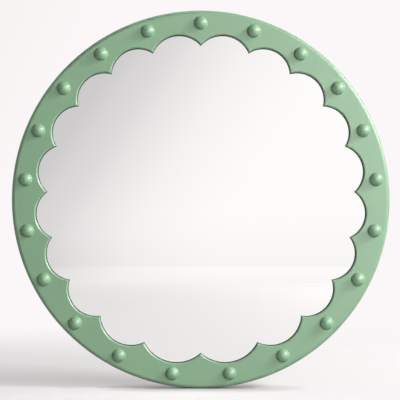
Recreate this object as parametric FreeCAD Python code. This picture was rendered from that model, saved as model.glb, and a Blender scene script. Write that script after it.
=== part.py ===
import FreeCAD, Part
import math
import os

# Round wall mirror with a scalloped, studded frame. Lengths are in millimetres, angles in degrees.
# The front faces -Y and +Z is up. The origin is on the wall, behind the centre of the mirror.
# Angles round the frame run clockwise from the top, as seen from the front.

# Frame: a ring cut from one board, narrowest behind the middle of each scallop
outer_radius = 400.0
narrow_width = 49.0
scallop_depth = 24.5
lip_thickness = 12.0
glass_cover = 6.5
front_edge_round = 8.0
lip_chamfer = 2.4
back_edge_round = 1.5

# Widths of the scallops down one side, from the top cusp to the bottom one, as shares of each other
scallop_width_shares = [1.01, 0.96, 0.96, 0.95, 0.965, 0.95, 0.955, 0.985, 1.065, 1.20]

# Studs: half balls turned in one piece with a tenon
stud_radius = 14.2
stud_height = 11.5
tenon_radius = 5.0
tenon_length = 8.0
tenon_chamfer = 0.8
socket_side_clearance = 0.1
socket_end_clearance = 0.5

# Gaps between studs down one side, from the top stud to the bottom pair, as shares of each other
stud_gap_shares = [1.02, 0.99, 0.96, 0.94, 0.96, 0.975, 0.98, 1.02, 1.035, 1.07, 1.09]

# Glass, and the board that closes the rebate behind it
glass_thickness = 4.0
board_thickness = 3.0
glass_edge_gap = 1.5
glass_edge_chamfer = 0.5

# Packers: short rubber strips round the edge of the glass
packer_angles = [60.0, 155.0, 205.0, 300.0]
packer_length = 30.0
packer_side_clearance = 0.05

# Pan head screws, the same for the turn buttons and the hanger straps
screw_radius = 1.75
screw_length = 9.5
screw_point_length = 2.0
screw_head_radius = 3.4
screw_head_height = 2.0
screw_head_round = 1.0
recess_length = 4.0
recess_width = 0.8
recess_depth = 1.1
pilot_side_clearance = 0.05
pilot_end_clearance = 0.5

# Turn buttons: teardrop plates that hold the board, each free to turn about its screw
turn_button_angles = [0.0, 45.0, 90.0, 135.0, 180.0, 225.0, 270.0, 315.0]
button_thickness = 1.2
button_heel_radius = 6.0
button_toe_radius = 3.5
button_reach = 22.0
button_hole_clearance = 0.06
button_running_gap = 0.1
button_screw_inset = 10.0

# Hangers: a strap with a rolled knuckle, and a D-shaped wire ring that swings in it
hanger_angle = 70.0
hanger_inset = 14.0
strap_width = 13.0
strap_thickness = 1.2
strap_corner_radius = 5.0
strap_end_margin = 6.0
strap_screw_spacing = 12.0
ring_screw_gap = 2.1
wire_radius = 1.5
ring_half_width = 11.0
ring_drop = 17.0
ring_corner_radius = 3.5
ring_strap_gap = 0.3
knuckle_bore_clearance = 0.05

# Bumpers: rubber pads that keep the frame off the wall
bumper_angles = [25.0, 155.0, 205.0, 335.0]
bumper_height = 8.0
bumper_base_radius = 10.0
bumper_tip_radius = 8.0
bumper_round = 1.5

# Places that follow from the sizes
valley_radius = outer_radius - narrow_width
cusp_radius = valley_radius - scallop_depth
frame_thickness = lip_thickness + glass_thickness + board_thickness
rebate_radius = valley_radius + glass_cover + glass_edge_gap
glass_radius = rebate_radius - glass_edge_gap
frame_back_y = -bumper_height
frame_front_y = frame_back_y - frame_thickness
glass_front_y = frame_front_y + lip_thickness
board_front_y = glass_front_y + glass_thickness
stud_circle_radius = (valley_radius + lip_chamfer + outer_radius - front_edge_round) / 2
bumper_circle_radius = (rebate_radius + outer_radius) / 2
pilot_radius = screw_radius + pilot_side_clearance
button_screw_radius = rebate_radius + button_screw_inset
button_back_y = frame_back_y + button_running_gap + button_thickness
button_head_y = button_back_y + button_running_gap
strap_back_y = frame_back_y + strap_thickness
knuckle_radius = strap_thickness + ring_strap_gap + wire_radius
knuckle_y = frame_back_y + knuckle_radius
upper_screw_drop = ring_drop + wire_radius + ring_screw_gap + screw_head_radius
lower_screw_drop = upper_screw_drop + strap_screw_spacing
strap_length = lower_screw_drop + strap_end_margin

# How far a cut runs past the face that it opens, and how closely edges are told apart
overrun = 5.0
precision = 1e-4

half_turn = 180.0
full_turn = 360.0
backwards = FreeCAD.Vector(0, 1, 0)
to_the_right = FreeCAD.Vector(1, 0, 0)


def place(radius, angle, y=0):
    turn = math.radians(angle)
    return FreeCAD.Vector(radius * math.sin(turn), y, radius * math.cos(turn))


def angles_from_shares(shares, whole):
    # Running angles from 0 to 180, where whole is the sum of the shares that fill the half turn
    angles = [0.0]
    for share in shares:
        angles.append(angles[-1] + half_turn * share / whole)
    return angles


def disc(radius, start_y, end_y, centre=FreeCAD.Vector()):
    # A cylinder along Y, from one depth to another, in line with the centre
    start = FreeCAD.Vector(centre.x, start_y, centre.z)
    return Part.makeCylinder(radius, end_y - start_y, start, backwards)


def turned(profile):
    # A solid of revolution about the Y axis, from edges in the plane z = 0
    face = Part.Face(Part.Wire(profile))
    return face.revolve(FreeCAD.Vector(), backwards, full_turn)


def moved(shape, position):
    copy = shape.copy()
    copy.translate(position)
    return copy


def edge_line(start, end):
    return Part.LineSegment(start, end).toShape()


def edge_arc(start, middle, end):
    return Part.Arc(start, middle, end).toShape()


def rounded_corner(start, corner, end):
    # A quarter circle from start to end that rounds off the square corner between them
    centre = start + end - corner
    outwards = (corner - centre).normalize()
    return edge_arc(start, centre + outwards * start.distanceToPoint(centre), end)


def edges_at(shape, y, largest_radius):
    # Edges that lie wholly at one depth, no further than the radius from the Y axis
    found = []
    for edge in shape.Edges:
        flat = abs(edge.BoundBox.YMin - y) < precision and abs(edge.BoundBox.YMax - y) < precision
        middle = edge.valueAt((edge.FirstParameter + edge.LastParameter) / 2)
        if flat and math.hypot(middle.x, middle.z) < largest_radius + precision:
            found.append(edge)
    return found


def cusp_angles():
    right = angles_from_shares(scallop_width_shares, sum(scallop_width_shares))
    left = [full_turn - angle for angle in reversed(right[:-1])]
    return right + left


def stud_angles():
    whole = sum(stud_gap_shares) - stud_gap_shares[-1] / 2
    right = angles_from_shares(stud_gap_shares[:-1], whole)
    left = [full_turn - angle for angle in reversed(right[1:])]
    return right + left


def scalloped_opening():
    cusps = cusp_angles()
    arcs = []
    for start, end in zip(cusps, cusps[1:]):
        arcs.append(edge_arc(
            place(cusp_radius, start, frame_front_y),
            place(valley_radius, (start + end) / 2, frame_front_y),
            place(cusp_radius, end, frame_front_y)))
    return Part.Face(Part.Wire(arcs)).extrude(backwards * lip_thickness)


def scalloped_frame():
    ring = disc(outer_radius, frame_front_y, frame_back_y)
    ring = ring.makeFillet(front_edge_round, edges_at(ring, frame_front_y, outer_radius))
    ring = ring.makeFillet(back_edge_round, edges_at(ring, frame_back_y, outer_radius))
    ring = ring.cut(scalloped_opening())
    ring = ring.cut(disc(rebate_radius, glass_front_y, frame_back_y + overrun))
    ring = ring.makeChamfer(lip_chamfer, edges_at(ring, frame_front_y, valley_radius))
    return ring.cut(frame_holes())


def frame_holes():
    holes = []
    socket_radius = tenon_radius + socket_side_clearance
    socket_end_y = frame_front_y + tenon_length + socket_end_clearance
    for angle in stud_angles():
        centre = place(stud_circle_radius, angle)
        holes.append(disc(socket_radius, frame_front_y - overrun, socket_end_y, centre))
    for seat in turn_button_screw_seats() + strap_screw_seats():
        pilot_end_y = seat.y - screw_length - pilot_end_clearance
        holes.append(disc(pilot_radius, pilot_end_y, frame_back_y + overrun, seat))
    return Part.makeCompound(holes)


def stud():
    # The dome is cut from a ball a little larger than the stud, and its flat is at y = 0
    ball_radius = (stud_radius ** 2 + stud_height ** 2) / (2 * stud_height)
    ball_y = ball_radius - stud_height
    half_angle = math.asin(stud_radius / ball_radius) / 2
    middle_y = ball_y - ball_radius * math.cos(half_angle)
    middle = FreeCAD.Vector(ball_radius * math.sin(half_angle), middle_y, 0)
    rim = FreeCAD.Vector(stud_radius, 0, 0)
    top = FreeCAD.Vector(0, -stud_height, 0)
    points = [
        rim,
        FreeCAD.Vector(tenon_radius, 0, 0),
        FreeCAD.Vector(tenon_radius, tenon_length - tenon_chamfer, 0),
        FreeCAD.Vector(tenon_radius - tenon_chamfer, tenon_length, 0),
        FreeCAD.Vector(0, tenon_length, 0),
        top]
    profile = [edge_line(a, b) for a, b in zip(points, points[1:])]
    profile.append(edge_arc(top, middle, rim))
    return turned(profile)


def mirror_glass():
    glass = disc(glass_radius, glass_front_y, board_front_y)
    return glass.makeChamfer(glass_edge_chamfer, edges_at(glass, glass_front_y, glass_radius))


def backing_board():
    return disc(glass_radius, board_front_y, frame_back_y)


def glass_packer(angle):
    inner = glass_radius + packer_side_clearance
    outer = rebate_radius - packer_side_clearance
    half_angle = math.degrees(packer_length / 2 / rebate_radius)
    start = angle - half_angle
    end = angle + half_angle
    y = glass_front_y
    outline = [
        edge_arc(place(inner, start, y), place(inner, angle, y), place(inner, end, y)),
        edge_line(place(inner, end, y), place(outer, end, y)),
        edge_arc(place(outer, end, y), place(outer, angle, y), place(outer, start, y)),
        edge_line(place(outer, start, y), place(inner, start, y))]
    return Part.Face(Part.Wire(outline)).extrude(backwards * glass_thickness)


def screw():
    # The head's underside is at y = 0 and the shank runs towards -Y
    head_side = FreeCAD.Vector(screw_head_radius, screw_head_height - screw_head_round, 0)
    head_top = FreeCAD.Vector(screw_head_radius - screw_head_round, screw_head_height, 0)
    head_corner = FreeCAD.Vector(screw_head_radius, screw_head_height, 0)
    points = [
        head_top,
        FreeCAD.Vector(0, screw_head_height, 0),
        FreeCAD.Vector(0, -screw_length, 0),
        FreeCAD.Vector(screw_radius, screw_point_length - screw_length, 0),
        FreeCAD.Vector(screw_radius, 0, 0),
        FreeCAD.Vector(screw_head_radius, 0, 0),
        head_side]
    profile = [edge_line(a, b) for a, b in zip(points, points[1:])]
    profile.append(rounded_corner(head_side, head_corner, head_top))
    body = turned(profile)
    for length, width in ((recess_length, recess_width), (recess_width, recess_length)):
        corner = FreeCAD.Vector(-length / 2, screw_head_height - recess_depth, -width / 2)
        body = body.cut(Part.makeBox(length, recess_depth + overrun, width, corner))
    return body


def turn_button_screw_seats():
    return [place(button_screw_radius, angle, button_head_y) for angle in turn_button_angles]


def turn_button():
    # Teardrop with its hole at the origin and its toe towards -Z
    reach = button_reach - button_toe_radius
    slope = math.acos((button_heel_radius - button_toe_radius) / reach)

    def point(radius, centre_z, angle):
        return FreeCAD.Vector(radius * math.sin(angle), 0, centre_z - radius * math.cos(angle))

    heel = [point(button_heel_radius, 0, slope), point(button_heel_radius, 0, -slope)]
    toe = [point(button_toe_radius, -reach, slope), point(button_toe_radius, -reach, -slope)]
    outline = [
        edge_line(heel[0], toe[0]),
        edge_arc(toe[0], point(button_toe_radius, -reach, 0), toe[1]),
        edge_line(toe[1], heel[1]),
        edge_arc(heel[1], point(button_heel_radius, 0, math.pi), heel[0])]
    plate = Part.Face(Part.Wire(outline)).extrude(backwards * button_thickness)
    plate = plate.cut(disc(screw_radius + button_hole_clearance, -overrun, button_thickness + overrun))
    return moved(plate, FreeCAD.Vector(0, button_back_y - button_thickness, 0))


def placed_turn_button(angle):
    button = turn_button()
    button.rotate(FreeCAD.Vector(), backwards, angle)
    return moved(button, place(button_screw_radius, angle))


def knuckle_centre(side):
    centre = place(rebate_radius + hanger_inset, hanger_angle)
    return FreeCAD.Vector(side * centre.x, knuckle_y, centre.z + strap_length / 2)


def strap_screw_seats():
    seats = []
    for side in (-1, 1):
        knuckle = knuckle_centre(side)
        for drop in (upper_screw_drop, lower_screw_drop):
            seats.append(FreeCAD.Vector(knuckle.x, strap_back_y, knuckle.z - drop))
    return seats


def hanger_strap(side):
    knuckle = knuckle_centre(side)
    corner = FreeCAD.Vector(knuckle.x - strap_width / 2, frame_back_y, knuckle.z - strap_length)
    plate = Part.makeBox(strap_width, strap_thickness, strap_length, corner)
    bottom_corners = [
        edge for edge in plate.Edges
        if abs(edge.BoundBox.ZMax - corner.z) < precision and edge.BoundBox.YLength > precision]
    plate = plate.makeFillet(strap_corner_radius, bottom_corners)
    end = FreeCAD.Vector(corner.x, knuckle.y, knuckle.z)
    strap = plate.fuse(Part.makeCylinder(knuckle_radius, strap_width, end, to_the_right))
    bore_start = end - to_the_right * overrun
    bore_radius = wire_radius + knuckle_bore_clearance
    strap = strap.cut(Part.makeCylinder(bore_radius, strap_width + 2 * overrun, bore_start, to_the_right))
    for seat in strap_screw_seats():
        if seat.x * side > 0:
            strap = strap.cut(disc(pilot_radius, frame_back_y - overrun, seat.y + overrun, seat))
    return strap.removeSplitter()


def hanger_ring(side):
    # A straight bar in the knuckle, two rounded corners, short legs and a half circle
    knuckle = knuckle_centre(side)

    def point(x, z):
        return knuckle + FreeCAD.Vector(x, 0, z)

    bar = [point(x, 0) for x in (ring_corner_radius - ring_half_width, ring_half_width - ring_corner_radius)]
    corners = [point(x, 0) for x in (-ring_half_width, ring_half_width)]
    leg_tops = [point(x, -ring_corner_radius) for x in (-ring_half_width, ring_half_width)]
    leg_ends = [point(x, ring_half_width - ring_drop) for x in (-ring_half_width, ring_half_width)]
    path = [
        edge_line(bar[0], bar[1]),
        rounded_corner(bar[1], corners[1], leg_tops[1]),
        edge_line(leg_tops[1], leg_ends[1]),
        edge_arc(leg_ends[1], point(0, -ring_drop), leg_ends[0]),
        edge_line(leg_ends[0], leg_tops[0]),
        rounded_corner(leg_tops[0], corners[0], bar[0])]
    section = Part.Wire(Part.makeCircle(wire_radius, bar[0], to_the_right))
    return Part.Wire(path).makePipeShell([section], True, False)


def wall_bumper(angle):
    base = FreeCAD.Vector(0, frame_back_y, 0)
    bumper = Part.makeCone(bumper_base_radius, bumper_tip_radius, bumper_height, base, backwards)
    bumper = bumper.makeFillet(bumper_round, edges_at(bumper, 0, bumper_tip_radius))
    return moved(bumper, place(bumper_circle_radius, angle))


def all_parts():
    parts = {
        "scalloped_frame": scalloped_frame(),
        "mirror_glass": mirror_glass(),
        "backing_board": backing_board()}
    one_stud = stud()
    for number, angle in enumerate(stud_angles(), 1):
        parts[f"stud_{number:02d}"] = moved(one_stud, place(stud_circle_radius, angle, frame_front_y))
    for number, angle in enumerate(packer_angles, 1):
        parts[f"glass_packer_{number}"] = glass_packer(angle)
    for number, angle in enumerate(turn_button_angles, 1):
        parts[f"turn_button_{number}"] = placed_turn_button(angle)
    one_screw = screw()
    screw_groups = {"turn_button_screws": turn_button_screw_seats(), "hanger_screws": strap_screw_seats()}
    for name, seats in screw_groups.items():
        parts[name] = Part.makeCompound([moved(one_screw, seat) for seat in seats])
    for name, side in (("left", -1), ("right", 1)):
        parts[f"hanger_strap_{name}"] = hanger_strap(side)
        parts[f"hanger_ring_{name}"] = hanger_ring(side)
    for number, angle in enumerate(bumper_angles, 1):
        parts[f"wall_bumper_{number}"] = wall_bumper(angle)
    return parts


os.makedirs("parts", exist_ok=True)
for name, shape in all_parts().items():
    shape.exportStep(f"parts/{name}.step")
    print(name, "valid" if shape.isValid() else "NOT VALID", round(shape.Volume, 1))
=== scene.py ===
import bpy
import math
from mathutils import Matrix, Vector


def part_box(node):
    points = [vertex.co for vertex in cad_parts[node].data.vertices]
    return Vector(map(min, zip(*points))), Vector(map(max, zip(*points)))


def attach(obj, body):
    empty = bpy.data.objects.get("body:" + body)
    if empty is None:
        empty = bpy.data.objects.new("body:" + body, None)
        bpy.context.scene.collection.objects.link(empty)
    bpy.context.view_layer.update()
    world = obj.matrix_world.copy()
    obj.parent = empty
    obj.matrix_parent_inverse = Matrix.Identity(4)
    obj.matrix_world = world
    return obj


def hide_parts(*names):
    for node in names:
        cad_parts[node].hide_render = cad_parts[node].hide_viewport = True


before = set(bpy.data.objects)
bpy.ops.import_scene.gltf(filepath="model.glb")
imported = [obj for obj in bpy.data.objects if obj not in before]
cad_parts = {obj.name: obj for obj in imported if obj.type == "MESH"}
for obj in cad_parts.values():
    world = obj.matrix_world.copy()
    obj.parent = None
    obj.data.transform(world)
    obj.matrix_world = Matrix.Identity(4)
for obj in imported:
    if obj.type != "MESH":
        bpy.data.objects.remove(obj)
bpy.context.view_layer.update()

print("frame loaded:", len(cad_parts), "nodes")

millimetre = 0.001


def linearColour(hexCode):
    # An sRGB hex value as the linear colour that Blender's sockets take
    channels = [int(hexCode[i:i + 2], 16) / 255 for i in (1, 3, 5)]
    return [c / 12.92 if c <= 0.04045 else ((c + 0.055) / 1.055) ** 2.4 for c in channels] + [1.0]


def addNode(tree, kind, settings, inputs):
    # One node with its settings; an input is a value, or the output socket that feeds it
    node = tree.nodes.new(kind)
    for name, value in settings.items():
        setattr(node, name, value)
    for name, value in inputs.items():
        if isinstance(value, bpy.types.NodeSocket):
            tree.links.new(value, node.inputs[name])
        else:
            node.inputs[name].default_value = value
    return node


def newMaterial(name):
    material = bpy.data.materials.new(name)
    material.use_nodes = True
    material.node_tree.nodes.clear()
    return material, material.node_tree


def finishWith(tree, shader):
    addNode(tree, "ShaderNodeOutputMaterial", {}, {"Surface": shader.outputs[0]})


def coverNode(name, material):
    # A CAD node whose shape is right keeps its mesh and takes a better material
    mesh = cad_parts[name].data
    mesh.materials.clear()
    mesh.materials.append(material)


# Satin water-based paint, sprayed on fibreboard: an even sage green with a soft sheen and faint orange peel
paint = {
    "green": "#6E9473",
    "greenShift": "#789C7A",        # where the coat lies a little thicker
    "recessShade": "#435145",        # the wall of the opening, painted shade: drawn dark and matt for the shadowed gap where the lip meets the glass
    "shiftSize": 90 * millimetre,
    "shiftDetail": 2.0,
    "peelSize": 5 * millimetre,     # real orange peel is 1 to 2 mm across, drawn coarser so that it shows
    "peelDetail": 1.0,
    "peelHeight": 0.05 * millimetre,
    "smooth": 0.42,
    "rough": 0.5,
    "specular": 0.8,
    "edgeTop": -24.8 * millimetre,  # where the painted shade starts, at the foot of the lip's chamfer
    "edgeFade": 0.5 * millimetre,
    "edgeRadius": 355 * millimetre}


def satinPaint():
    material, tree = newMaterial("satin_paint_on_fibreboard")
    place = addNode(tree, "ShaderNodeTexCoord", {}, {}).outputs["Object"]
    shift = addNode(tree, "ShaderNodeTexNoise", {}, {
        "Vector": place, "Scale": 1 / paint["shiftSize"], "Detail": paint["shiftDetail"]})
    peel = addNode(tree, "ShaderNodeTexNoise", {}, {
        "Vector": place, "Scale": 1 / paint["peelSize"], "Detail": paint["peelDetail"]})
    colour = addNode(tree, "ShaderNodeMix", {"data_type": "RGBA"}, {
        0: shift.outputs[0], 6: linearColour(paint["green"]), 7: linearColour(paint["greenShift"])})

    # Painted shade: the wall of the opening, inside the edge radius and behind the chamfer of the lip, is
    # drawn darker and matt
    flat = addNode(tree, "ShaderNodeVectorMath", {"operation": "MULTIPLY"}, {0: place, 1: (1, 0, 1)})
    radius = addNode(tree, "ShaderNodeVectorMath", {"operation": "LENGTH"}, {0: flat.outputs["Vector"]})
    inside = addNode(tree, "ShaderNodeMath", {"operation": "LESS_THAN"}, {
        0: radius.outputs["Value"], 1: paint["edgeRadius"]})
    depth = addNode(tree, "ShaderNodeSeparateXYZ", {}, {0: place})
    behind = addNode(tree, "ShaderNodeMapRange", {}, {
        "Value": depth.outputs["Y"],
        "From Min": paint["edgeTop"], "From Max": paint["edgeTop"] + paint["edgeFade"]})
    paintedShade = addNode(tree, "ShaderNodeMath", {"operation": "MULTIPLY"}, {
        0: inside.outputs[0], 1: behind.outputs["Result"]})
    colour = addNode(tree, "ShaderNodeMix", {"data_type": "RGBA"}, {
        0: paintedShade.outputs[0], 6: colour.outputs[2], 7: linearColour(paint["recessShade"])})

    sheen = addNode(tree, "ShaderNodeMapRange", {}, {
        "Value": peel.outputs[0], "To Min": paint["smooth"], "To Max": paint["rough"]})
    roughness = addNode(tree, "ShaderNodeMath", {"operation": "MAXIMUM"}, {
        0: sheen.outputs["Result"], 1: paintedShade.outputs[0]})
    gloss = addNode(tree, "ShaderNodeMapRange", {}, {
        "Value": paintedShade.outputs[0], "To Min": paint["specular"], "To Max": 0.0})
    bump = addNode(tree, "ShaderNodeBump", {}, {
        "Height": peel.outputs[0], "Distance": paint["peelHeight"], "Strength": 1.0})
    shader = addNode(tree, "ShaderNodeBsdfPrincipled", {}, {
        "Base Color": colour.outputs[2], "Roughness": roughness.outputs[0], "Normal": bump.outputs[0],
        "Specular IOR Level": gloss.outputs["Result"]})
    finishWith(tree, shader)
    return material


# Float glass silvered on its back: a clean, neutral mirror with the faintest veil of dust in its gloss
silvering = {
    "silver": "#F7F7F6",
    "clean": 0.004,
    "dusty": 0.02,
    "veilSize": 140 * millimetre,
    "veilDetail": 3.0,
    "veilStart": 0.45,              # share of the noise below which the glass is clean
    "veilFull": 0.8}


def silveredGlass():
    material, tree = newMaterial("silvered_float_glass")
    place = addNode(tree, "ShaderNodeTexCoord", {}, {}).outputs["Object"]
    veil = addNode(tree, "ShaderNodeTexNoise", {}, {
        "Vector": place, "Scale": 1 / silvering["veilSize"], "Detail": silvering["veilDetail"]})
    gloss = addNode(tree, "ShaderNodeMapRange", {}, {
        "Value": veil.outputs[0], "From Min": silvering["veilStart"], "From Max": silvering["veilFull"],
        "To Min": silvering["clean"], "To Max": silvering["dusty"]})
    shader = addNode(tree, "ShaderNodeBsdfPrincipled", {}, {
        "Base Color": linearColour(silvering["silver"]), "Metallic": 1.0,
        "Roughness": gloss.outputs["Result"]})
    finishWith(tree, shader)
    return material


# Tempered hardboard: pressed wood fibre, a warm mottled brown with short darker fibres and a dull surface
hardboard = {
    "brown": "#7C5A3C",
    "paleBrown": "#94714F",
    "fibre": "#5B4029",
    "mottleSize": 28 * millimetre,
    "mottleDetail": 4.0,
    "mottleHeight": 0.2 * millimetre,
    "fibreWidth": 3 * millimetre,   # real fibres are under 1 mm wide, drawn coarser so that they show
    "fibreLength": 14 * millimetre,
    "fibreTurns": (35, -50),        # degrees, one layer of fibres each way
    "fibreDetail": 2.0,
    "fibreStart": 0.56,             # share of the noise above which a fibre shows
    "fibreFull": 0.75,
    "fibreDepth": 0.6,              # how much of the fibre's brown a fibre shows at most
    "rough": 0.72,
    "specular": 0.3}


def temperedHardboard():
    material, tree = newMaterial("tempered_hardboard")
    place = addNode(tree, "ShaderNodeTexCoord", {}, {}).outputs["Object"]
    mottle = addNode(tree, "ShaderNodeTexNoise", {}, {
        "Vector": place, "Scale": 1 / hardboard["mottleSize"], "Detail": hardboard["mottleDetail"]})
    colour = addNode(tree, "ShaderNodeMix", {"data_type": "RGBA"}, {
        0: mottle.outputs[0], 6: linearColour(hardboard["brown"]), 7: linearColour(hardboard["paleBrown"])})
    along, across = 1 / hardboard["fibreLength"], 1 / hardboard["fibreWidth"]
    for turn in hardboard["fibreTurns"]:
        lying = addNode(tree, "ShaderNodeMapping", {}, {
            "Vector": place, "Rotation": (0, math.radians(turn), 0), "Scale": (along, across, across)})
        fibres = addNode(tree, "ShaderNodeTexNoise", {}, {
            "Vector": lying.outputs[0], "Scale": 1.0, "Detail": hardboard["fibreDetail"]})
        picked = addNode(tree, "ShaderNodeMapRange", {}, {
            "Value": fibres.outputs[0], "From Min": hardboard["fibreStart"],
            "From Max": hardboard["fibreFull"], "To Max": hardboard["fibreDepth"]})
        colour = addNode(tree, "ShaderNodeMix", {"data_type": "RGBA"}, {
            0: picked.outputs["Result"], 6: colour.outputs[2], 7: linearColour(hardboard["fibre"])})
    bump = addNode(tree, "ShaderNodeBump", {}, {
        "Height": mottle.outputs[0], "Distance": hardboard["mottleHeight"], "Strength": 1.0})
    shader = addNode(tree, "ShaderNodeBsdfPrincipled", {}, {
        "Base Color": colour.outputs[2], "Roughness": hardboard["rough"], "Normal": bump.outputs[0],
        "Specular IOR Level": hardboard["specular"]})
    finishWith(tree, shader)
    return material


# Plated steel: zinc is a cool grey with a cloudy spangle, nickel is warmer and brighter
plating = {
    "cloudDetail": 3.0,
    "zinc": {"light": "#C4C7CA", "dark": "#A9ADB1", "cloud": 4 * millimetre, "smooth": 0.28, "rough": 0.42},
    "nickel": {"light": "#CFC9BE", "dark": "#BDB6AA", "cloud": 6 * millimetre, "smooth": 0.16, "rough": 0.26}}


def platedSteel(name, look):
    material, tree = newMaterial(name)
    place = addNode(tree, "ShaderNodeTexCoord", {}, {}).outputs["Object"]
    cloud = addNode(tree, "ShaderNodeTexNoise", {}, {
        "Vector": place, "Scale": 1 / look["cloud"], "Detail": plating["cloudDetail"]})
    colour = addNode(tree, "ShaderNodeMix", {"data_type": "RGBA"}, {
        0: cloud.outputs[0], 6: linearColour(look["light"]), 7: linearColour(look["dark"])})
    gloss = addNode(tree, "ShaderNodeMapRange", {}, {
        "Value": cloud.outputs[0], "To Min": look["smooth"], "To Max": look["rough"]})
    shader = addNode(tree, "ShaderNodeBsdfPrincipled", {}, {
        "Base Color": colour.outputs[2], "Metallic": 1.0, "Roughness": gloss.outputs["Result"]})
    finishWith(tree, shader)
    return material


# Moulded rubber: near black, matt, with a fine grain from the mould
rubber = {
    "black": "#2B2B2C",
    "dusty": "#3A3A3A",
    "grain": 0.8 * millimetre,
    "grainDetail": 1.0,
    "grainHeight": 0.05 * millimetre,
    "rough": 0.74}


def mouldedRubber():
    material, tree = newMaterial("moulded_rubber")
    place = addNode(tree, "ShaderNodeTexCoord", {}, {}).outputs["Object"]
    grain = addNode(tree, "ShaderNodeTexNoise", {}, {
        "Vector": place, "Scale": 1 / rubber["grain"], "Detail": rubber["grainDetail"]})
    colour = addNode(tree, "ShaderNodeMix", {"data_type": "RGBA"}, {
        0: grain.outputs[0], 6: linearColour(rubber["black"]), 7: linearColour(rubber["dusty"])})
    bump = addNode(tree, "ShaderNodeBump", {}, {
        "Height": grain.outputs[0], "Distance": rubber["grainHeight"], "Strength": 1.0})
    shader = addNode(tree, "ShaderNodeBsdfPrincipled", {}, {
        "Base Color": colour.outputs[2], "Roughness": rubber["rough"], "Normal": bump.outputs[0]})
    finishWith(tree, shader)
    return material


greenPaint = satinPaint()
mirrorSilver = silveredGlass()
boardBrown = temperedHardboard()
zincSteel = platedSteel("zinc_plated_steel", plating["zinc"])
nickelSteel = platedSteel("nickel_plated_steel", plating["nickel"])
blackRubber = mouldedRubber()

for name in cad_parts:
    if name.startswith(("scalloped_frame", "stud_")):
        coverNode(name, greenPaint)
    elif name.startswith(("turn_button", "hanger_screws")):
        coverNode(name, zincSteel)
    elif name.startswith("hanger"):
        coverNode(name, nickelSteel)
    elif name.startswith(("wall_bumper", "glass_packer")):
        coverNode(name, blackRubber)
coverNode("mirror_glass", mirrorSilver)
coverNode("backing_board", boardBrown)
print("materials on the CAD nodes")


# Turned half-ball studs: a cap of a ball, a small bead of pooled paint round its foot, and a chamfered tenon
stud = {
    "count": 21,
    "segments": 48,
    "rings": 32,
    "ball": 14.52 * millimetre,     # radius of the ball that the cap is cut from
    "height": 11.5 * millimetre,    # from the frame's face to the top of the cap
    "beadStart": 0.7 * millimetre,  # height of the cap's lower edge, where the bead begins
    "smoothAngle": 40,              # degrees, past which an edge stays sharp
    # Radius and depth of the rings below the cap, in millimetres, from the bead to the end of the tenon
    "ringsBelow": ((14.10, -0.45), (14.26, -0.24), (14.52, -0.10), (14.90, -0.02), (15.30, 0.03),
                   (15.30, 0.10), (5.0, 0.10), (5.0, 7.4), (4.4, 8.0))}


def turnedStud():
    bpy.ops.object.select_all(action="DESELECT")
    bpy.ops.mesh.primitive_uv_sphere_add(
        segments=stud["segments"], ring_count=stud["rings"], radius=stud["ball"],
        location=(0, stud["ball"] - stud["height"], 0), rotation=(math.radians(90), 0, 0))
    bpy.ops.object.transform_apply(location=True, rotation=True, scale=True)
    bpy.ops.object.mode_set(mode="EDIT")
    bpy.ops.mesh.select_all(action="SELECT")
    bpy.ops.mesh.bisect(plane_co=(0, -stud["beadStart"], 0), plane_no=(0, 1, 0), clear_outer=True)
    radius = math.sqrt(stud["ball"] ** 2 - (stud["ball"] - stud["height"] + stud["beadStart"]) ** 2)
    depth = -stud["beadStart"]
    for ring, ringDepth in stud["ringsBelow"]:
        share = ring * millimetre / radius
        step = (0, ringDepth * millimetre - depth, 0)
        bpy.ops.mesh.extrude_region_move(TRANSFORM_OT_translate={"value": step})
        bpy.ops.transform.resize(value=(share, 1, share), center_override=(0, 0, 0))
        radius, depth = ring * millimetre, ringDepth * millimetre
    bpy.ops.mesh.edge_face_add()
    bpy.ops.mesh.select_all(action="SELECT")
    bpy.ops.mesh.normals_make_consistent(inside=False)
    bpy.ops.object.mode_set(mode="OBJECT")
    bpy.ops.object.shade_smooth_by_angle(angle=math.radians(stud["smoothAngle"]))
    pattern = bpy.context.object
    pattern.data.materials.append(greenPaint)
    return pattern


def copyAt(pattern, name, place):
    # A copy with its own mesh, which takes its place in the mesh
    bpy.ops.object.select_all(action="DESELECT")
    pattern.select_set(True)
    bpy.context.view_layer.objects.active = pattern
    bpy.ops.object.duplicate(linked=False)
    piece = bpy.context.object
    piece.name = name
    piece.location = place
    bpy.ops.object.transform_apply(location=True, rotation=False, scale=False)
    return piece


studPattern = turnedStud()
for number in range(1, stud["count"] + 1):
    node = f"stud_{number:02d}"
    low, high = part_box(node)
    middle = (low + high) / 2
    piece = copyAt(studPattern, f"painted_stud_{number:02d}", (middle.x, low.y + stud["height"], middle.z))
    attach(piece, "frame")
    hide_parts(node)
bpy.ops.object.select_all(action="DESELECT")
studPattern.select_set(True)
bpy.ops.object.delete()
print("studs turned:", stud["count"])


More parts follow.
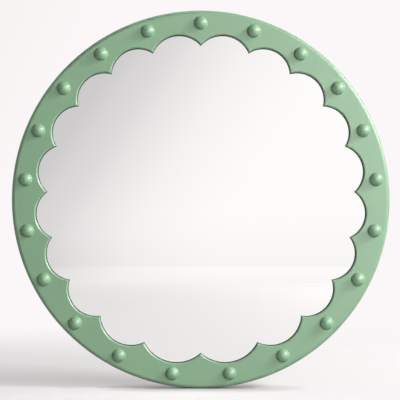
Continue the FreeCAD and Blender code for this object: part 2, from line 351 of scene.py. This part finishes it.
# Stage: a pale floor that keeps the shadow and fades into the background, and a wall that only mirrors show
backdrop = {
    "cornerWhite": "#F5F1F0",       # the upper left corner is a little greyer
    "white": "#FBF7F8",
    "slope": 0.5,                   # how much the edge of that corner leans
    "cornerEdge": -0.26,
    "whiteEdge": -0.13,
    "ambient": 0.03,                # light that the background throws on the mirror from all other sides
    "behind": 0.8,                  # light that it throws on the mirror's back
    "behindStart": 0.6,
    "behindFull": 0.85}
floorLook = {
    "height": -400 * millimetre,
    "halfSize": 9.0,
    "white": "#F8F6F6",
    "paintedFrontShade": "#E2E0E0",        # painted shade: darker in front of the mirror, to offset the extra light that the mirror throws there
    "frontStart": 0.7,
    "frontEnd": -0.1,
    "thrownBack": "#8A8886",        # the shade that bounced light finds, darker than the floor looks
    "glow": 0.46,                   # share of its own light, for the camera and reflections only
    "contact": 0.06,                # how near the mirror's foot that light dims
    "contactDepth": 2.0,            # the power that deepens the dimming
    "contactSamples": 16,
    "viewDistance": 3.0,            # turns a place on the floor into a direction from the camera
    "fadeStretch": (0.65, 1, 0),    # the clear part begins a little farther off at the sides
    "fadeMiddle": -1.3,
    "fadeStart": 1.65,
    "fadeEnd": 2.7}


def backdropColour(tree, direction):
    # Pale grey in the upper left corner, nearly white elsewhere
    towards = addNode(tree, "ShaderNodeSeparateXYZ", {}, {0: direction})
    lean = addNode(tree, "ShaderNodeMath", {"operation": "MULTIPLY_ADD"}, {
        0: towards.outputs["Z"], 1: -backdrop["slope"], 2: towards.outputs["X"]})
    share = addNode(tree, "ShaderNodeMapRange", {"interpolation_type": "SMOOTHSTEP"}, {
        "Value": lean.outputs[0], "From Min": backdrop["cornerEdge"], "From Max": backdrop["whiteEdge"]})
    corner, white = linearColour(backdrop["cornerWhite"]), linearColour(backdrop["white"])
    mixed = addNode(tree, "ShaderNodeMix", {"data_type": "RGBA"}, {
        0: share.outputs["Result"], 6: corner, 7: white})
    return mixed.outputs[2]


def paleWorld():
    world = bpy.data.worlds.new("pale_studio")
    bpy.context.scene.world = world
    world.use_nodes = True
    tree = world.node_tree
    tree.nodes.clear()
    direction = addNode(tree, "ShaderNodeTexCoord", {}, {}).outputs["Generated"]
    seen = addNode(tree, "ShaderNodeBackground", {}, {
        "Color": backdropColour(tree, direction), "Strength": 1.0})
    sides = addNode(tree, "ShaderNodeSeparateXYZ", {}, {0: direction})
    level = addNode(tree, "ShaderNodeMapRange", {"interpolation_type": "SMOOTHSTEP"}, {
        "Value": sides.outputs["Y"],
        "From Min": backdrop["behindStart"], "From Max": backdrop["behindFull"],
        "To Min": backdrop["ambient"], "To Max": backdrop["behind"]})
    fill = addNode(tree, "ShaderNodeBackground", {}, {
        "Color": (1, 1, 1, 1), "Strength": level.outputs["Result"]})
    ray = addNode(tree, "ShaderNodeLightPath", {}, {})
    mirrored = addNode(tree, "ShaderNodeMath", {"operation": "MAXIMUM"}, {
        0: ray.outputs["Is Glossy Ray"], 1: ray.outputs["Is Transmission Ray"]})
    inView = addNode(tree, "ShaderNodeMath", {"operation": "MAXIMUM"}, {
        0: ray.outputs["Is Camera Ray"], 1: mirrored.outputs[0]})
    mixed = addNode(tree, "ShaderNodeMixShader", {}, {
        0: inView.outputs[0], 1: fill.outputs[0], 2: seen.outputs[0]})
    addNode(tree, "ShaderNodeOutputWorld", {}, {"Surface": mixed.outputs[0]})


def floorPaper(tree, place, ray):
    # The part of the floor's look that takes light and shadow
    across = addNode(tree, "ShaderNodeSeparateXYZ", {}, {0: place})
    # Painted shade: the floor's colour is darker in front of the mirror
    front = addNode(tree, "ShaderNodeMapRange", {}, {
        "Value": across.outputs["Y"],
        "From Min": floorLook["frontStart"], "From Max": floorLook["frontEnd"]})
    white, paintedFrontShade = linearColour(floorLook["white"]), linearColour(floorLook["paintedFrontShade"])
    paper = addNode(tree, "ShaderNodeMix", {"data_type": "RGBA"}, {
        0: front.outputs["Result"], 6: white, 7: paintedFrontShade})
    colour = addNode(tree, "ShaderNodeMix", {"data_type": "RGBA"}, {
        0: ray.outputs["Is Diffuse Ray"], 6: paper.outputs[2], 7: linearColour(floorLook["thrownBack"])})
    return addNode(tree, "ShaderNodeBsdfDiffuse", {}, {"Color": colour.outputs[2]})


def floorGlow(tree, place):
    # The part that matches the background whatever the lamps do, with a painted contact shadow that dims it
    # next to the mirror's foot
    direction = addNode(tree, "ShaderNodeVectorMath", {"operation": "SCALE"}, {
        0: place, "Scale": 1 / floorLook["viewDistance"]})
    openness = addNode(tree, "ShaderNodeAmbientOcclusion", {"samples": floorLook["contactSamples"]}, {
        "Distance": floorLook["contact"]})
    contact = addNode(tree, "ShaderNodeMath", {"operation": "POWER"}, {
        0: openness.outputs["AO"], 1: floorLook["contactDepth"]})
    return addNode(tree, "ShaderNodeEmission", {}, {
        "Color": backdropColour(tree, direction.outputs[0]), "Strength": contact.outputs[0]})


def paleFloor():
    bpy.ops.object.select_all(action="DESELECT")
    bpy.ops.mesh.primitive_plane_add(size=2 * floorLook["halfSize"], location=(0, 0, floorLook["height"]))
    floor = bpy.context.object
    floor.name = "studio_floor"
    material, tree = newMaterial("pale_studio_floor")
    geometry = addNode(tree, "ShaderNodeNewGeometry", {}, {})
    place = geometry.outputs["Position"]
    ray = addNode(tree, "ShaderNodeLightPath", {}, {})
    lit = floorPaper(tree, place, ray)
    glow = floorGlow(tree, place)
    seen = addNode(tree, "ShaderNodeMath", {"operation": "MAXIMUM"}, {
        0: ray.outputs["Is Camera Ray"], 1: ray.outputs["Is Glossy Ray"]})
    share = addNode(tree, "ShaderNodeMath", {"operation": "MULTIPLY"}, {
        0: seen.outputs[0], 1: floorLook["glow"]})
    near = addNode(tree, "ShaderNodeMixShader", {}, {
        0: share.outputs[0], 1: lit.outputs[0], 2: glow.outputs[0]})

    # Far away, and from below, the floor is clear, so the background shows
    spot = addNode(tree, "ShaderNodeVectorMath", {"operation": "MULTIPLY_ADD"}, {
        0: place, 1: floorLook["fadeStretch"], 2: (0, -floorLook["fadeMiddle"], 0)})
    away = addNode(tree, "ShaderNodeVectorMath", {"operation": "LENGTH"}, {0: spot.outputs["Vector"]})
    fade = addNode(tree, "ShaderNodeMapRange", {"interpolation_type": "SMOOTHSTEP"}, {
        "Value": away.outputs["Value"],
        "From Min": floorLook["fadeStart"], "From Max": floorLook["fadeEnd"]})
    clear = addNode(tree, "ShaderNodeMath", {"operation": "MAXIMUM"}, {
        0: fade.outputs["Result"], 1: geometry.outputs["Backfacing"]})
    through = addNode(tree, "ShaderNodeBsdfTransparent", {}, {})
    shader = addNode(tree, "ShaderNodeMixShader", {}, {
        0: clear.outputs[0], 1: near.outputs[0], 2: through.outputs[0]})
    finishWith(tree, shader)
    floor.data.materials.append(material)


studioWall = {
    "distance": 4.78,
    "halfWidth": 12.0,
    "height": 6.0,
    "tint": "#FFFCFD",
    "strength": 1.075,              # a little over 1 for what the silvering takes
    "slope": 0.65,
    "slopeEnd": -0.2,               # lower down the light no longer leans
    "dimTop": -0.08,                # the wall dims towards its foot
    "dimFoot": -0.36,
    "footLevel": 0.95,
    "coveTop": -0.395,              # below this is the strip of floor in front of the wall
    "coveLevel": 1.0,               # next to the wall the strip is as bright as this
    "coveDim": -3.2,                # here it is as dim as the wall's foot
    "coveStart": -4.0,              # from here to its end it fades away towards the mirror
    "coveEnd": -2.2,
    # Places across the leaning light, left to right, and how bright it is there
    "stops": ((-2.2, 0.25), (-1.2, 0.61), (-1.03, 0.617), (-0.89, 0.68), (-0.74, 0.723), (-0.595, 0.80),
              (-0.45, 0.855), (-0.30, 0.909), (-0.16, 0.939), (0.0, 0.965), (0.13, 0.982), (0.28, 0.991))}


def leaningLight(tree, spot):
    # Darker to the left and brighter to the right, in bands that lean with the height
    height = addNode(tree, "ShaderNodeMath", {"operation": "MAXIMUM"}, {
        0: spot.outputs["Z"], 1: studioWall["slopeEnd"]})
    lean = addNode(tree, "ShaderNodeMath", {"operation": "MULTIPLY_ADD"}, {
        0: height.outputs[0], 1: -studioWall["slope"], 2: spot.outputs["X"]})
    low, high = studioWall["stops"][0][0], studioWall["stops"][-1][0]
    share = addNode(tree, "ShaderNodeMapRange", {}, {
        "Value": lean.outputs[0], "From Min": low, "From Max": high})
    ramp = addNode(tree, "ShaderNodeValToRGB", {}, {"Fac": share.outputs["Result"]})
    elements = ramp.color_ramp.elements
    while len(elements) < len(studioWall["stops"]):
        elements.new(0.5)           # the next lines give it its own position
    for element, (position, level) in zip(elements, studioWall["stops"]):
        element.position = (position - low) / (high - low)
        element.color = [level * c for c in linearColour(studioWall["tint"])[:3]] + [1]
    return ramp.outputs["Color"]


def lightLevel(tree, spot):
    # The wall dims towards its foot, and the strip of floor starts bright there
    dimmed = addNode(tree, "ShaderNodeMapRange", {}, {
        "Value": spot.outputs["Z"], "From Min": studioWall["dimFoot"], "From Max": studioWall["dimTop"],
        "To Min": studioWall["footLevel"], "To Max": 1.0})
    cove = addNode(tree, "ShaderNodeMath", {"operation": "LESS_THAN"}, {
        0: spot.outputs["Z"], 1: studioWall["coveTop"]})
    extra = addNode(tree, "ShaderNodeMapRange", {}, {
        "Value": spot.outputs["Y"], "From Min": -studioWall["distance"], "From Max": studioWall["coveDim"],
        "To Min": studioWall["coveLevel"] - studioWall["footLevel"], "To Max": 0.0})
    level = addNode(tree, "ShaderNodeMath", {"operation": "MULTIPLY_ADD"}, {
        0: cove.outputs[0], 1: extra.outputs["Result"], 2: dimmed.outputs["Result"]})
    return addNode(tree, "ShaderNodeMath", {"operation": "MULTIPLY"}, {
        0: level.outputs[0], 1: studioWall["strength"]}).outputs[0]


def wallLight():
    material, tree = newMaterial("studio_wall_light")
    geometry = addNode(tree, "ShaderNodeNewGeometry", {}, {})
    spot = addNode(tree, "ShaderNodeSeparateXYZ", {}, {0: geometry.outputs["Position"]})
    light = addNode(tree, "ShaderNodeEmission", {}, {
        "Color": leaningLight(tree, spot), "Strength": lightLevel(tree, spot)})
    fade = addNode(tree, "ShaderNodeMapRange", {"interpolation_type": "SMOOTHSTEP"}, {
        "Value": spot.outputs["Y"],
        "From Min": studioWall["coveStart"], "From Max": studioWall["coveEnd"]})
    through = addNode(tree, "ShaderNodeBsdfTransparent", {}, {})
    shader = addNode(tree, "ShaderNodeMixShader", {}, {
        0: fade.outputs["Result"], 1: light.outputs[0], 2: through.outputs[0]})
    finishWith(tree, shader)
    return material


def glowingCard(name, place, turn, size, material):
    # A flat glowing card, no lamp, that only reflections see: painted light for the room in the mirror
    bpy.ops.object.select_all(action="DESELECT")
    bpy.ops.mesh.primitive_plane_add(size=1, location=place, rotation=(turn, 0, 0))
    card = bpy.context.object
    card.name = name
    card.scale = (*size, 1)
    card.data.materials.append(material)
    card.visible_camera = card.visible_diffuse = card.visible_shadow = card.visible_transmission = False


def wallInTheMirror():
    material = wallLight()
    width, height = 2 * studioWall["halfWidth"], studioWall["height"]
    glowingCard("studio_wall", (0, -studioWall["distance"], floorLook["height"] + height / 2),
                math.radians(-90), (width, height), material)
    coveDepth = studioWall["distance"] + studioWall["coveEnd"]
    coveMiddle = coveDepth / 2 - studioWall["distance"]
    glowingCard("studio_cove", (0, coveMiddle, floorLook["height"] + millimetre), 0,
                (width, coveDepth), material)


# Each lamp stands at its place and looks at its aim; its size is across and up
lamps = {
    "key_softbox": {"place": (3.1, -0.9, 1.8), "aim": (0, 0, 0), "size": (0.8, 0.8), "watts": 149},
    "side_softbox": {"place": (3.6, -2.6, 1.8), "aim": (0, 0, 0), "size": (2.6, 2.0), "watts": 92},
    "sheen_softbox": {"place": (2.0, -4.3, 1.2), "aim": (0, 0, 0), "size": (2.0, 2.0), "watts": 90},
    "low_sheen_softbox": {"place": (1.5, -4.4, 0.1), "aim": (0, 0, 0), "size": (0.8, 1.0), "watts": 38},
    "floor_softbox": {"place": (-0.5, 1.2, 2.0), "aim": (-0.3, 0.8, -0.4), "size": (1.6, 1.0), "watts": 6}}


def softbox(name, lamp):
    bpy.ops.object.select_all(action="DESELECT")
    bpy.ops.object.light_add(type="AREA", location=lamp["place"])
    light = bpy.context.object
    light.name = name
    light.data.shape = "RECTANGLE"
    light.data.size, light.data.size_y = lamp["size"]
    light.data.energy = lamp["watts"]
    gap = [a - b for a, b in zip(lamp["aim"], lamp["place"])]
    yaw = math.atan2(-gap[0], gap[1])
    pitch = math.atan2(gap[2], math.hypot(gap[0], gap[1]))
    light.rotation_euler = (math.radians(90) + pitch, 0, yaw)
    light.visible_camera = False


# Camera: square on, level with the middle of the mirror
camera = {
    "distance": 2721 * millimetre,
    "right": -1.6 * millimetre,
    "up": -1.3 * millimetre,
    "lens": 114.8}


def squareCamera():
    bpy.ops.object.camera_add(
        location=(camera["right"], -camera["distance"], camera["up"]), rotation=(math.radians(90), 0, 0))
    bpy.context.scene.camera = bpy.context.object
    bpy.context.object.data.lens = camera["lens"]


paleWorld()
paleFloor()
wallInTheMirror()
for name, lamp in lamps.items():
    softbox(name, lamp)
squareCamera()
bpy.context.scene.view_settings.view_transform = "Standard"
print("stage, lamps and camera ready")
